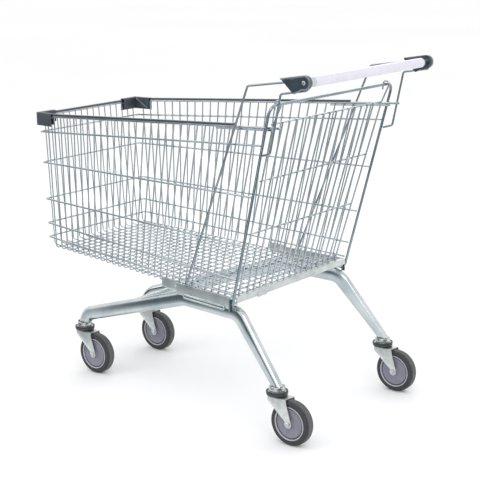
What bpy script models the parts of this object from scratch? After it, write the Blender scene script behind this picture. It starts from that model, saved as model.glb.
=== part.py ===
"""Wire basket shopping cart, built as separate parts in metres.

+Y is the way the cart is pushed, +X is to the pusher's right and +Z is up.
The origin is on the floor, below the middle of the cart's length and width.
"""

import math

import bmesh
import bpy
from mathutils import Matrix, Vector

# ---- Driving dimensions -------------------------------------------------

GAP = 0.0003  # clearance left between parts that touch

# Casters
WHEEL_R = 0.0625
TYRE_W = 0.032
CORE_R = 0.0475
TRAIL = 0.0495  # the axle sits this far behind the swivel axis
CASTERS = {
    "front_left": (-0.143, 0.4395),
    "front_right": (0.143, 0.4395),
    "rear_left": (-0.264, -0.4005),
    "rear_right": (0.264, -0.4005),
}
AXLE_R = 0.005
BORE_R = 0.0051
BOSS_R = 0.012
FORK_PLATE_Z = 0.1275  # underside of the fork's top plate
FORK_STEEL = 0.0025
FORK_INSIDE = 0.019  # half of the space between the cheeks
FORK_AHEAD = 0.017  # past the swivel axis
FORK_REAR = 0.0075  # the top plate ends this far ahead of the axle
FORK_ROUND = 0.0108
BOLT_HEAD_R = 0.0085
BOLT_HEAD_H = 0.0045
PIN_R = 0.0080
PIN_HOLE_R = 0.0085
HEAD_R = 0.0255
COLLAR_R = 0.0155
RING_R = 0.032
RING_H = 0.014
STEM_TOP = 0.156

# Chassis: flat-oval tube, one bent length on each side
OVAL_H = 0.044
OVAL_W = 0.025
TUBE_BEND_R = 0.055
TUBE_FRONT = (0.1430, 0.4532, 0.1400)
TUBE_ELBOW = (0.1440, 0.4122, 0.1884)
TUBE_MIDDLE = (0.2350, -0.0535, 0.3360)
TUBE_KNEE = (0.2440, -0.2574, 0.3280)
TUBE_REAR = (0.2650, -0.4010, 0.1400)
TUBE_CUT_Z = 0.1568  # both ends are sawn level, on top of the swivel stems
CROSS_TUBE = (0.240, 0.2440)  # y and z of the front cross tube
CROSS_H = 0.030
CROSS_W = 0.0216
CROSS_HALF = 0.175  # the tube is made longer than the gap, then notched to the chassis tubes

# Basket corners, on the centre lines of the outer wires (right-hand side)
RIM_FRONT = Vector((0.2135, 0.5270, 0.8030))
RIM_REAR = Vector((0.2829, -0.3890, 0.8546))
BASE_FRONT = Vector((0.2190, 0.5015, 0.4050))
BASE_REAR = Vector((0.2660, -0.2540, 0.3625))
RIM_END_Y = -0.4315  # the rim wire runs on past the rear frame
RIM_WIRE_R = 0.0035
UPRIGHT_R = 0.0024
GIRTH_R = 0.0028
WIRE_STEP = 0.0045  # uprights stand this far inside the rim wire
WELD_IN = 0.0012  # girth wires press this far into the uprights at each weld
CORNER_R = 0.022
GIRTH_BEND = 0.009
GIRTHS = ((0.118, 0.098), (0.350, 0.386), (0.631, 0.665), (0.817, 0.866), (0.925, 0.956))
SIDE_UPRIGHTS = [0.0383 + 0.03263 * k for k in range(0, 29, 4)]
FRONT_UPRIGHTS = (-0.195, -0.117, -0.039, 0.039, 0.117, 0.195)
UPRIGHT_SPAN = (0.012, 0.985)  # from the rim wire to the basket's lower edge
FLOOR_LENGTHS = 6
FLOOR_LIFT = 0.0032  # the lengthwise wires lie this far above the crosswise ones
FLOOR_INSET = 0.0075
FLOOR_SHARE = 0.98  # of the width at each end

# Rim profile and corner bumpers
PROFILE_W = 0.0105
PROFILE_H = 0.0065
BUMPER_LEG = 0.068
BUMPER_CAP = 0.013  # width of the solid part over the rim wire
BUMPER_WALL = 0.0025
BUMPER_ROUND = 0.006
BUMPER_CROWN = 0.0035  # the cap rises this far above the profile
BUMPER_Z = (0.7755, 0.8125)
BUMPER_OUT = Vector((0.2200, 0.5335))

# Rear frame: inverted U with a straight cross rod that carries the flap
HOOP_R = 0.004
HOOP_FOOT = Vector((0.2725, -0.2580, 0.3560))
HOOP_TOP = Vector((0.2925, -0.4045, 0.9125))
HOOP_BEND = 0.026

# Flap: hangs from the cross rod, leaning forwards against the rear plate
FLAP_WIRE_R = 0.0025
FLAP_TOP_Z = 0.860
FLAP_FOOT_Z = 0.3720
FLAP_LEAN = 0.2925  # metres forwards for each metre down
FLAP_HALF_TOP = 0.258
FLAP_HALF_FOOT = 0.232
FLAP_BARS = (0.860, 0.705, 0.554, 0.392)
FLAP_UPRIGHTS = (-3, -2, -1, 0, 1, 2, 3)
FLAP_PITCH = 0.062
FLAP_STEP = 0.003  # the bars lie this far in front of the uprights and run past them
HOOK_R = 0.0095

# Handle
HANDLE_R = 0.0135
HANDLE_Y = -0.5142
HANDLE_Z = 0.9790
CLAMP_IN = 0.2860
CLAMP_OUT = 0.3010
CLAMP_ROUND = 0.0195
CLAMP_TIP_TOP = (-0.4400, 0.9865)
CLAMP_TIP_LOW = (-0.4815, 0.9480)
BOLT_R = 0.0075
BOLT_SHANK_R = 0.0024
BOLT_DEPTH = 0.0036

# Handle brackets
BRACKET_R = 0.0030
BRACKET_BEND = 0.0085
STRUT_FOOT = Vector((0.2665, -0.0830, 0.3720))
STRUT_TOP = Vector((0.2905, -0.3315, 0.9590))
STRUT_HOOK = Vector((0.001, -0.020, 0.014))  # the foot turns up and back by this much
BRACKET_LOOP = (
    (0.2905, -0.5230, 0.9860),
    (0.2940, -0.5230, 0.9600),
    (0.2940, -0.4395, 0.9460),
    (0.2940, -0.4045, 0.7900),
    (0.2885, -0.3765, 0.7820),
)

# Base plates
SHEET = 0.0022
PLATE_SEAM_Y = -0.0440
PLATE_REAR_Y = -0.2495
FLANGE_W = 0.030
FLANGE_DROP = 0.010
FLANGE_RISE = 0.026
BRACKET_SHAPE = ((0.003, 0.352), (0.056, 0.356), (0.056, 0.393), (0.003, 0.390))
LIP_REAR_Y = -0.2665
LIP_LOW_Y = -0.2528
LIP_TOP_Y = -0.2508
LIP_Z = (0.3610, 0.3780)
LIP_HALF = 0.262


# ---- Scene helpers ------------------------------------------------------

def clear_scene():
    for obj in list(bpy.data.objects):
        bpy.data.objects.remove(obj, do_unlink=True)


clear_scene()
cart = bpy.data.collections.new("shopping_cart")
helpers = bpy.data.collections.new("cutters")
bpy.context.scene.collection.children.link(cart)
bpy.context.scene.collection.children.link(helpers)
helpers.hide_render = True


def material(name, colour, roughness, metallic=0.0):
    made = bpy.data.materials.new(name)
    made.use_nodes = True
    shader = made.node_tree.nodes["Principled BSDF"]
    shader.inputs["Base Color"].default_value = (*colour, 1.0)
    shader.inputs["Roughness"].default_value = roughness
    shader.inputs["Metallic"].default_value = metallic
    made.diffuse_color = (*colour, 1.0)
    return made


ZINC = material("zinc_wire", (0.60, 0.63, 0.64), 0.32, 1.0)
TUBE_ZINC = material("zinc_tube", (0.66, 0.69, 0.70), 0.28, 1.0)
SHEET_ZINC = material("zinc_sheet", (0.68, 0.69, 0.69), 0.38, 1.0)
FORK_ZINC = material("zinc_fork", (0.72, 0.73, 0.72), 0.36, 1.0)
SLATE = material("slate_plastic", (0.055, 0.065, 0.080), 0.42)
GRIP = material("handle_plastic", (0.83, 0.81, 0.86), 0.25)
RING = material("ring_plastic", (0.045, 0.050, 0.055), 0.45)
TYRE = material("tyre_rubber", (0.045, 0.045, 0.047), 0.70)
HUB = material("hub_plastic", (0.23, 0.23, 0.29), 0.45)
STEEL = material("bolt_steel", (0.62, 0.62, 0.62), 0.30, 1.0)


def add(name, data, where=cart):
    obj = bpy.data.objects.new(name, data)
    where.objects.link(obj)
    return obj


def baked(obj, mat=None):
    """The object's evaluated shape as a plain mesh object with welded caps."""
    bpy.context.view_layer.update()
    seen = obj.evaluated_get(bpy.context.evaluated_depsgraph_get())
    mesh = bpy.data.meshes.new_from_object(seen)
    grown = bmesh.new()
    grown.from_mesh(mesh)
    bmesh.ops.transform(grown, matrix=obj.matrix_world, verts=grown.verts)
    bmesh.ops.remove_doubles(grown, verts=grown.verts, dist=1e-6)
    bmesh.ops.recalc_face_normals(grown, faces=grown.faces)
    grown.to_mesh(mesh)
    grown.free()
    label = obj.name
    bpy.data.objects.remove(obj, do_unlink=True)
    made = add(label, mesh)
    made.data.materials.clear()
    if mat:
        made.data.materials.append(mat)
    return made


def smooth(obj, degrees=40):
    obj.data.shade_smooth()
    obj.data.set_sharp_from_angle(angle=math.radians(degrees))
    return obj


# ---- Shape helpers ------------------------------------------------------

def rounded(points, radius, steps=4):
    """The polyline with each inner corner turned into an arc of this radius."""
    points = [Vector(p) for p in points]
    out = [points[0]]
    for before, corner, after in zip(points, points[1:], points[2:]):
        a = (before - corner).normalized()
        b = (after - corner).normalized()
        angle = a.angle(b)
        cut = radius / math.tan(angle / 2)
        centre = corner + (a + b).normalized() * (radius / math.sin(angle / 2))
        start = (corner + a * cut - centre).normalized()
        end = (corner + b * cut - centre).normalized()
        out += [centre + start.slerp(end, i / steps) * radius for i in range(steps + 1)]
    out.append(points[-1])
    return out


def wire_curve(name, runs, radius, resolution=1):
    """Round wires along these runs of points, as one curve object."""
    curve = bpy.data.curves.new(name, "CURVE")
    curve.dimensions = "3D"
    curve.bevel_depth = radius
    curve.bevel_resolution = resolution
    curve.use_fill_caps = True
    for run in runs:
        spline = curve.splines.new("POLY")
        spline.points.add(len(run) - 1)
        for point, place in zip(spline.points, run):
            point.co = (*place, 1.0)
    return add(name, curve)


def wire(name, points, radius, mat, resolution=1):
    return smooth(baked(wire_curve(name, [points], radius, resolution), mat=mat))


def boolean(obj, tool, operation):
    """Joins or cuts with the tool, which moves to the helpers."""
    for home in list(tool.users_collection):
        home.objects.unlink(tool)
    helpers.objects.link(tool)
    tool.hide_render = True
    tool.display_type = "WIRE"
    made = obj.modifiers.new(operation.lower(), "BOOLEAN")
    made.operation = operation
    made.solver = "EXACT"
    made.object = tool
    return obj


def with_origin(obj, place):
    """The finished shape with its origin on its joint's axis."""
    made = baked(obj, obj.data.materials[0])
    made.data.transform(Matrix.Translation(-place))
    made.matrix_world = Matrix.Translation(place)
    return made


def lattice(name, inner, outer, inner_r, outer_r, mat):
    """Crossing wires, welded into one body where they touch."""
    base = baked(wire_curve(name, inner, inner_r, 0), mat=mat)
    return boolean(base, baked(wire_curve(name + "_outer", outer, outer_r, 0)), "UNION")


def rod(radius, low, high):
    """Profile of a plain rod, for turning."""
    return [(0.0, high), (radius, high), (radius, low), (0.0, low)]


def turned(name, profile, steps, mat=None, degrees=40):
    """A profile of (radius, height) pairs, turned about the object's own Z."""
    mesh = bpy.data.meshes.new(name)
    verts = [(r, 0.0, z) for r, z in profile]
    loop = [(i, (i + 1) % len(verts)) for i in range(len(verts))]
    if profile[0][0] == 0.0 and profile[-1][0] == 0.0:
        loop.pop()
    mesh.from_pydata(verts, loop, [])
    obj = add(name, mesh)
    spin = obj.modifiers.new("turn", "SCREW")
    spin.axis = "Z"
    spin.steps = steps
    spin.render_steps = steps
    spin.use_merge_vertices = True
    spin.merge_threshold = 0.00001
    spin.use_normal_calculate = True
    made = baked(obj, mat=mat)
    return smooth(made, degrees)


def outline(name, points, thickness, mat, matrix, bevel=0.0):
    """A flat outline of this thickness, centred on the matrix's XY plane."""
    curve = bpy.data.curves.new(name, "CURVE")
    curve.dimensions = "2D"
    curve.fill_mode = "BOTH"
    curve.extrude = thickness / 2
    spline = curve.splines.new("POLY")
    spline.points.add(len(points) - 1)
    for point, (x, y) in zip(spline.points, points):
        point.co = (x, y, 0.0, 1.0)
    spline.use_cyclic_u = True
    obj = add(name, curve)
    obj.matrix_world = matrix
    made = baked(obj, mat=mat)
    if bevel:
        edge = made.modifiers.new("edge", "BEVEL")
        edge.width = bevel
        edge.segments = 1
        edge.limit_method = "ANGLE"
        edge.angle_limit = math.radians(60)
    return made


def frame_of(x_axis, y_axis, origin):
    """Matrix with these two axes and origin; the third axis is their cross."""
    x_axis = Vector(x_axis).normalized()
    y_axis = Vector(y_axis).normalized()
    z_axis = x_axis.cross(y_axis).normalized()
    y_axis = z_axis.cross(x_axis)
    made = Matrix((x_axis, y_axis, z_axis)).transposed().to_4x4()
    made.translation = Vector(origin)
    return made


def box(name, low, high):
    """Box between two opposite corners."""
    low, high = Vector(low), Vector(high)
    shape = bmesh.new()
    place = Matrix.LocRotScale((low + high) / 2, None, high - low)
    bmesh.ops.create_cube(shape, size=1.0, matrix=place)
    mesh = bpy.data.meshes.new(name)
    shape.to_mesh(mesh)
    shape.free()
    return add(name, mesh)


YZ_PLANE = frame_of((0, 1, 0), (0, 0, 1), (0, 0, 0))
SIDEWAYS = Matrix.Rotation(math.pi / 2, 4, "Y")  # turns an object's Z to +X


def mirrored(point, side):
    return Vector((point[0] * side, point[1], point[2]))


def arc(centre, radius, start, end, steps):
    """(a, b) points round a circle, in degrees."""
    return [
        (
            centre[0] + radius * math.cos(math.radians(start + (end - start) * i / steps)),
            centre[1] + radius * math.sin(math.radians(start + (end - start) * i / steps)),
        )
        for i in range(steps + 1)
    ]


# ---- Basket surface -----------------------------------------------------

def rim_at(u):
    return RIM_FRONT.lerp(RIM_REAR, u)


def base_at(u):
    return BASE_FRONT.lerp(BASE_REAR, u)


def side_point(u, v, side=1, inside=0.0):
    """On the side wall: u runs front to rear and v runs rim to floor."""
    point = rim_at(u).lerp(base_at(u), v)
    return Vector(((point.x - inside) * side, point.y, point.z))


def front_point(x, v, inside=0.0):
    """On the front wall: x is the place along the rim."""
    top = Vector((x, RIM_FRONT.y, RIM_FRONT.z))
    foot = Vector((x * BASE_FRONT.x / RIM_FRONT.x, BASE_FRONT.y, BASE_FRONT.z))
    point = top.lerp(foot, v)
    return Vector((point.x, point.y - inside, point.z))


def girth_depth(pair, u):
    return pair[0] + (pair[1] - pair[0]) * u


# ---- Casters ------------------------------------------------------------

def tyre(name, place):
    half = TYRE_W / 2
    profile = [
        (WHEEL_R - 0.006, half),
        (WHEEL_R - 0.0015, half - 0.004),
        (WHEEL_R, half - 0.009),
        (WHEEL_R, -half + 0.009),
        (WHEEL_R - 0.0015, -half + 0.004),
        (WHEEL_R - 0.006, -half),
        (CORE_R + GAP, -half),
        (CORE_R + GAP, half),
    ]
    obj = turned(name, profile, 32, TYRE)
    obj.matrix_world = Matrix.Translation(place) @ SIDEWAYS
    return obj


def wheel_core(name, place):
    half = TYRE_W / 2
    face = half - 0.003
    boss = half + 0.001
    profile = [
        (CORE_R, half),
        (CORE_R - 0.006, half),
        (CORE_R - 0.008, face),
        (BOSS_R + 0.002, face),
        (BOSS_R, boss),
        (BORE_R, boss),
        (BORE_R, -boss),
        (BOSS_R, -boss),
        (BOSS_R + 0.002, -face),
        (CORE_R - 0.008, -face),
        (CORE_R - 0.006, -half),
        (CORE_R, -half),
    ]
    obj = turned(name, profile, 24, HUB)
    obj.matrix_world = Matrix.Translation(place) @ SIDEWAYS
    return obj


def axle(name, place):
    """Bolt and nut through the fork: head, shank and nut turned as one."""
    face = FORK_INSIDE + FORK_STEEL + GAP
    tip = FORK_INSIDE + FORK_STEEL + BOLT_HEAD_H
    profile = [
        (0.0, tip),
        (BOLT_HEAD_R - 0.0015, tip),
        (BOLT_HEAD_R, tip - 0.0015),
        (BOLT_HEAD_R, face),
        (AXLE_R, face),
        (AXLE_R, -face),
        (BOLT_HEAD_R, -face),
        (BOLT_HEAD_R, -tip + 0.0015),
        (BOLT_HEAD_R - 0.0015, -tip),
        (0.0, -tip),
    ]
    obj = turned(name, profile, 16, STEEL)
    obj.matrix_world = Matrix.Translation(place) @ SIDEWAYS
    return obj


def fork(name, swivel, axle_at):
    """Pressed steel fork: two tapering cheeks under a bored top plate."""
    face = FORK_INSIDE + FORK_STEEL
    top = FORK_PLATE_Z + FORK_STEEL
    front_y = swivel.y + FORK_AHEAD
    rear_y = axle_at.y + FORK_REAR
    cheek = [(front_y, top), (front_y, top - RING_H)]
    cheek += arc((axle_at.y, axle_at.z), FORK_ROUND, 34, -193, 8)
    cheek += [(rear_y, top)]
    sides = []
    for sign in (-1, 1):
        place = Matrix.Translation((swivel.x + sign * (face - FORK_STEEL / 2), 0, 0))
        sides.append(outline(f"{name}_cheek", cheek, FORK_STEEL, FORK_ZINC, place @ YZ_PLANE))
    obj = box(
        name,
        (swivel.x - face, rear_y, top - FORK_STEEL),
        (swivel.x + face, front_y, top),
    )
    obj.data.materials.append(FORK_ZINC)
    for side in sides:
        boolean(obj, side, "UNION")
    bore = turned(name + "_bore", rod(BORE_R, -WHEEL_R, WHEEL_R), 16)
    bore.matrix_world = Matrix.Translation(axle_at) @ SIDEWAYS
    neck = turned(name + "_neck", rod(PIN_HOLE_R, top - 2 * RING_H, top + RING_H), 16)
    neck.matrix_world = Matrix.Translation((swivel.x, swivel.y, 0))
    boolean(obj, bore, "DIFFERENCE")
    boolean(obj, neck, "DIFFERENCE")
    return with_origin(obj, swivel + Vector((0, 0, FORK_PLATE_Z)))


def dust_ring(name, swivel):
    low = FORK_PLATE_Z + FORK_STEEL + GAP
    high = low + RING_H
    profile = [
        (RING_R - 0.003, high),
        (RING_R, high - 0.003),
        (RING_R, low + 0.003),
        (RING_R - 0.004, low),
        (PIN_HOLE_R, low),
        (PIN_HOLE_R, low + 0.005),
        (RING_R - 0.006, low + 0.005),
        (RING_R - 0.006, high),
    ]
    obj = turned(name, profile, 24, RING)
    obj.matrix_world = Matrix.Translation((swivel.x, swivel.y, 0))
    return obj


def stem(name, swivel):
    """Swivel head: a disc in the dust ring, a flared collar and the pin below."""
    low = FORK_PLATE_Z + FORK_STEEL + GAP
    profile = [
        (0.0, STEM_TOP),
        (COLLAR_R, STEM_TOP),
        (COLLAR_R + 0.001, STEM_TOP - 0.004),
        (HEAD_R - 0.004, low + RING_H + 0.0005),
        (HEAD_R, low + RING_H - 0.0015),
        (HEAD_R, low + 0.0055),
        (PIN_R, low + 0.0055),
        (PIN_R, FORK_PLATE_Z - GAP),
        (0.0, FORK_PLATE_Z - GAP),
    ]
    obj = turned(name, profile, 24, STEEL)
    obj.matrix_world = Matrix.Translation((swivel.x, swivel.y, 0))
    return obj


for corner, (caster_x, caster_y) in CASTERS.items():
    swivel_at = Vector((caster_x, caster_y, 0.0))
    axle_at = Vector((caster_x, caster_y - TRAIL, WHEEL_R))
    tyre("tyre_" + corner, axle_at)
    wheel_core("wheel_core_" + corner, axle_at)
    axle("axle_bolt_" + corner, axle_at)
    fork("fork_" + corner, swivel_at, axle_at)
    dust_ring("dust_ring_" + corner, swivel_at)
    stem("swivel_stem_" + corner, swivel_at)


# ---- Chassis ------------------------------------------------------------

def oval_tube(name, points, height, width, mat=None, grow=0.0, sides=8):
    """Flat-oval tube along these points, kept upright by a Z-up twist."""
    guide = bpy.data.curves.new(name + "_section", "CURVE")
    guide.dimensions = "2D"
    straight = (height - width) / 2
    end_r = width / 2 + grow
    section = arc((0, straight), end_r, 0, 180, sides // 2)
    section += arc((0, -straight), end_r, 180, 360, sides // 2)
    spline = guide.splines.new("POLY")
    spline.points.add(len(section) - 1)
    for point, (x, y) in zip(spline.points, section):
        point.co = (x, y, 0.0, 1.0)
    spline.use_cyclic_u = True
    shape = add(name + "_section", guide, helpers)
    shape.hide_render = True
    shape.display_type = "WIRE"
    curve = bpy.data.curves.new(name, "CURVE")
    curve.dimensions = "3D"
    curve.twist_mode = "Z_UP"
    curve.bevel_mode = "OBJECT"
    curve.bevel_object = shape
    curve.use_fill_caps = True
    path = curve.splines.new("POLY")
    path.points.add(len(points) - 1)
    for point, place in zip(path.points, points):
        point.co = (*place, 1.0)
    return baked(add(name, curve), mat=mat)


def chassis_path(side):
    corners = [TUBE_FRONT, TUBE_ELBOW, TUBE_MIDDLE, TUBE_KNEE, TUBE_REAR]
    return rounded([mirrored(p, side) for p in corners], TUBE_BEND_R, 5)


for side, word in ((-1, "left"), (1, "right")):
    tube = oval_tube("chassis_tube_" + word, chassis_path(side), OVAL_H, OVAL_W, TUBE_ZINC)
    boolean(smooth(tube), box("saw_" + word, (-1, -1, 0), (1, 1, TUBE_CUT_Z)), "DIFFERENCE")

cross_y, cross_z = CROSS_TUBE
cross = oval_tube(
    "front_cross_tube",
    [(-CROSS_HALF, cross_y, cross_z), (CROSS_HALF, cross_y, cross_z)],
    CROSS_H,
    CROSS_W,
    TUBE_ZINC,
)
for side, word in ((-1, "left"), (1, "right")):
    tool = oval_tube("notch_" + word, chassis_path(side), OVAL_H, OVAL_W, grow=GAP + 0.0001)
    boolean(cross, tool, "DIFFERENCE")


# ---- Base plates --------------------------------------------------------

def plate_x(y):
    """Outer face of the plates at this place along the basket's lower edge."""
    u = (BASE_FRONT.y - y) / (BASE_FRONT.y - BASE_REAR.y)
    return base_at(u).x + RIM_WIRE_R + SHEET


def side_plate(name, side, y_from, y_to, mat):
    """Pressed angle along the basket's lower edge, its flange on the tube."""
    slope = (TUBE_KNEE[2] - TUBE_MIDDLE[2]) / (TUBE_KNEE[1] - TUBE_MIDDLE[1])
    height = TUBE_MIDDLE[2] + OVAL_H / 2 + 0.0008
    start, end = (
        Vector((plate_x(y) * side, y, height + slope * (y - TUBE_MIDDLE[1])))
        for y in (y_from, y_to)
    )
    along = (end - start).normalized()
    section = [
        (0.0, -FLANGE_DROP),
        (0.0, FLANGE_RISE),
        (-SHEET, FLANGE_RISE),
        (-SHEET, SHEET),
        (-FLANGE_W, SHEET),
        (-FLANGE_W, 0.0),
        (-SHEET, 0.0),
        (-SHEET, -FLANGE_DROP),
    ]
    section = [(x * side, z) for x, z in section]
    across = Vector((0, 0, 1)).cross(along).normalized()
    across *= math.copysign(1, across.x)
    up = across.cross(along) if across.cross(along).z > 0 else along.cross(across)
    matrix = frame_of(across, up, (start + end) / 2)
    return outline(name, section, (end - start).length, mat, matrix)


def floor_bracket(name, side):
    """Flat bracket between the front of the side plate and the tube."""
    rise = (BASE_FRONT.x - BASE_REAR.x) / (BASE_FRONT.y - BASE_REAR.y)
    along = Vector((rise * side, 1.0, 0.0))
    origin = Vector(((plate_x(PLATE_SEAM_Y) - SHEET / 2) * side, PLATE_SEAM_Y, 0.0))
    matrix = frame_of(along, (0, 0, 1), origin)
    return outline(name, BRACKET_SHAPE, SHEET, SHEET_ZINC, matrix)


for side, word in ((-1, "left"), (1, "right")):
    side_plate("side_plate_" + word, side, PLATE_SEAM_Y, PLATE_REAR_Y, SHEET_ZINC)
    floor_bracket("floor_bracket_" + word, side)

lip_low, lip_high = LIP_Z
rear_lip = [
    (LIP_REAR_Y, lip_low),
    (LIP_LOW_Y, lip_low),
    (LIP_LOW_Y, lip_low + SHEET),
    (LIP_REAR_Y + SHEET, lip_low + SHEET),
    (LIP_REAR_Y + SHEET, lip_high - SHEET),
    (LIP_TOP_Y, lip_high - SHEET),
    (LIP_TOP_Y, lip_high),
    (LIP_REAR_Y, lip_high),
]
outline("rear_cross_plate", rear_lip, 2 * LIP_HALF, SHEET_ZINC, YZ_PLANE)


# ---- Basket -------------------------------------------------------------

def side_grille(name, side):
    inner = []
    for u in SIDE_UPRIGHTS:
        inner.append([side_point(u, v, side, WIRE_STEP) for v in UPRIGHT_SPAN])
    outer = []
    for pair in GIRTHS:
        length = side_point(0, pair[0]).y - side_point(1, pair[0]).y
        ends = ((CORNER_R + 5 * GAP) / length, UPRIGHT_SPAN[1])
        outer.append([side_point(u, girth_depth(pair, u), side, WELD_IN) for u in ends])
    return lattice(name, inner, outer, UPRIGHT_R, GIRTH_R, ZINC)


def front_grille(name):
    inner = [[front_point(x, v, WIRE_STEP) for v in UPRIGHT_SPAN] for x in FRONT_UPRIGHTS]
    outer = []
    for pair in GIRTHS:
        corner = front_point(RIM_FRONT.x - WELD_IN, pair[0], WELD_IN)
        back = Vector((0, -CORNER_R, 0))
        left = Vector((-corner.x, corner.y, corner.z))
        outer.append(rounded([left + back, left, corner, corner + back], GIRTH_BEND, 3))
    return lattice(name, inner, outer, UPRIGHT_R, GIRTH_R, ZINC)


def floor_grille(name):
    lift = Vector((0, 0, FLOOR_LIFT))
    inner = []
    for u in SIDE_UPRIGHTS:
        end = base_at(u) - Vector((FLOOR_INSET, 0, 0))
        inner.append([mirrored(end, -1), end])
    outer = []
    for k in range(FLOOR_LENGTHS):
        share = ((2 * k + 1) / FLOOR_LENGTHS - 1) * FLOOR_SHARE
        outer.append([
            Vector((share * edge.x, edge.y, edge.z)) + lift
            for edge in (base_at(v) for v in UPRIGHT_SPAN)
        ])
    return lattice(name, inner, outer, UPRIGHT_R, UPRIGHT_R, ZINC)


side_grille("basket_side_left", -1)
side_grille("basket_side_right", 1)
front_grille("basket_front")
floor_grille("basket_floor")

rim_end = rim_at((RIM_FRONT.y - RIM_END_Y) / (RIM_FRONT.y - RIM_REAR.y))
rim_corners = [
    mirrored(rim_end, -1),
    mirrored(RIM_FRONT, -1),
    RIM_FRONT,
    rim_end,
]
wire("basket_rim", rounded(rim_corners, CORNER_R, 5), RIM_WIRE_R, ZINC)


def rim_profile(name, start, end):
    """Plastic strip that stands on the rim wire between two points."""
    along = (end - start).normalized()
    across = along.cross(Vector((0, 0, 1))).normalized()
    up = across.cross(along)
    foot = RIM_WIRE_R + GAP
    half = PROFILE_W / 2
    section = [
        (-half, foot),
        (half, foot),
        (half, foot + PROFILE_H - 0.003),
        (half - 0.003, foot + PROFILE_H),
        (-half + 0.003, foot + PROFILE_H),
        (-half, foot + PROFILE_H - 0.003),
    ]
    matrix = frame_of(across, up, (start + end) / 2)
    return outline(name, section, (end - start).length, SLATE, matrix)


PROFILE_FRONT_U = (BUMPER_LEG + 0.002) / (RIM_FRONT.y - RIM_REAR.y)
PROFILE_REAR_U = 0.872
for side, word in ((-1, "left"), (1, "right")):
    rim_profile(
        "rim_profile_" + word,
        mirrored(rim_at(PROFILE_FRONT_U), side),
        mirrored(rim_at(PROFILE_REAR_U), side),
    )
rim_profile(
    "rim_profile_front",
    Vector((-RIM_FRONT.x + BUMPER_LEG, RIM_FRONT.y, RIM_FRONT.z)),
    Vector((RIM_FRONT.x - BUMPER_LEG, RIM_FRONT.y, RIM_FRONT.z)),
)


def corner_bumper(name, side):
    """Moulded cap over the rim's front corner, open underneath."""
    out_x, out_y = BUMPER_OUT
    low, high = BUMPER_Z[0], BUMPER_Z[1] + BUMPER_CROWN
    centre = (out_x - BUMPER_ROUND, out_y - BUMPER_ROUND)
    flare = (RIM_REAR.x - RIM_FRONT.x) / (RIM_FRONT.y - RIM_REAR.y) * BUMPER_LEG
    outer = [(out_x + flare, out_y - BUMPER_LEG)] + arc(centre, BUMPER_ROUND, 0, 90, 4)
    outer += [(out_x - BUMPER_LEG, out_y)]
    cap = outer + [(out_x - BUMPER_LEG, out_y - BUMPER_CAP)]
    cap += [(out_x - BUMPER_CAP + flare, out_y - BUMPER_LEG)]
    wall = outer + [(out_x - BUMPER_LEG, out_y - BUMPER_WALL)]
    wall += arc(centre, BUMPER_ROUND - BUMPER_WALL, 90, 0, 4)
    wall += [(out_x - BUMPER_WALL + flare, out_y - BUMPER_LEG)]
    tilt = (RIM_REAR.z - RIM_FRONT.z) / (RIM_FRONT.y - RIM_REAR.y)
    roof = RIM_FRONT.z + RIM_WIRE_R + 2 * GAP + tilt * (BUMPER_LEG - (out_y - RIM_FRONT.y))
    overlap = BUMPER_WALL
    turn = Matrix.Scale(side, 4, (1, 0, 0))
    raised = turn @ Matrix.Translation((0, 0, (roof + high) / 2))
    top = outline(name, cap, high - roof, SLATE, raised)
    lowered = turn @ Matrix.Translation((0, 0, (low + roof + overlap) / 2))
    skirt = outline(name + "_skirt", wall, roof + overlap - low, SLATE, lowered)
    return boolean(top, skirt, "UNION")


corner_bumper("corner_bumper_left", -1)
corner_bumper("corner_bumper_right", 1)


# ---- Rear frame and flap ------------------------------------------------

hoop = rounded(
    [mirrored(HOOP_FOOT, -1), mirrored(HOOP_TOP, -1), HOOP_TOP, HOOP_FOOT],
    HOOP_BEND,
    5,
)
wire("rear_frame", hoop, HOOP_R, ZINC)


def flap_y(z):
    return HOOP_TOP.y + FLAP_LEAN * (HOOP_TOP.z - z)


def flap_half(z):
    share = (FLAP_TOP_Z - z) / (FLAP_TOP_Z - FLAP_FOOT_Z)
    return FLAP_HALF_TOP + (FLAP_HALF_FOOT - FLAP_HALF_TOP) * share


def hooked_upright(side):
    """Outer upright: up behind the cross rod, over it, and down in front."""
    foot = Vector((flap_half(FLAP_FOOT_Z) * side, flap_y(FLAP_FOOT_Z), FLAP_FOOT_Z))
    start = Vector((FLAP_HALF_TOP * side, flap_y(FLAP_TOP_Z), FLAP_TOP_Z))
    loop = [
        Vector((FLAP_HALF_TOP * side, y, z))
        for y, z in arc((HOOP_TOP.y, HOOP_TOP.z), HOOK_R, 195, 0, 7)
    ]
    tail = Vector((FLAP_HALF_TOP * side, HOOP_TOP.y + HOOK_R + 0.002, HOOP_TOP.z - 0.016))
    return [foot, start] + loop + [tail]


uprights = [hooked_upright(-1), hooked_upright(1)]
for k in FLAP_UPRIGHTS:
    x_top = k * FLAP_PITCH
    x_foot = x_top * FLAP_HALF_FOOT / FLAP_HALF_TOP
    ends = ((x_foot, FLAP_FOOT_Z), (x_top, FLAP_TOP_Z + FLAP_STEP))
    uprights.append([Vector((x, flap_y(z), z)) for x, z in ends])
bars = [
    [Vector(((flap_half(z) + FLAP_STEP) * sign, flap_y(z) + FLAP_STEP, z)) for sign in (-1, 1)]
    for z in FLAP_BARS
]
flap = lattice("rear_flap", uprights, bars, FLAP_WIRE_R, FLAP_WIRE_R, ZINC)
with_origin(flap, Vector((0, HOOP_TOP.y, HOOP_TOP.z)))


# ---- Handle -------------------------------------------------------------

def bracket_path(side):
    points = [STRUT_FOOT + STRUT_HOOK, STRUT_FOOT, STRUT_TOP, *BRACKET_LOOP]
    return rounded([mirrored(p, side) for p in points], BRACKET_BEND, 3)


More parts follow.
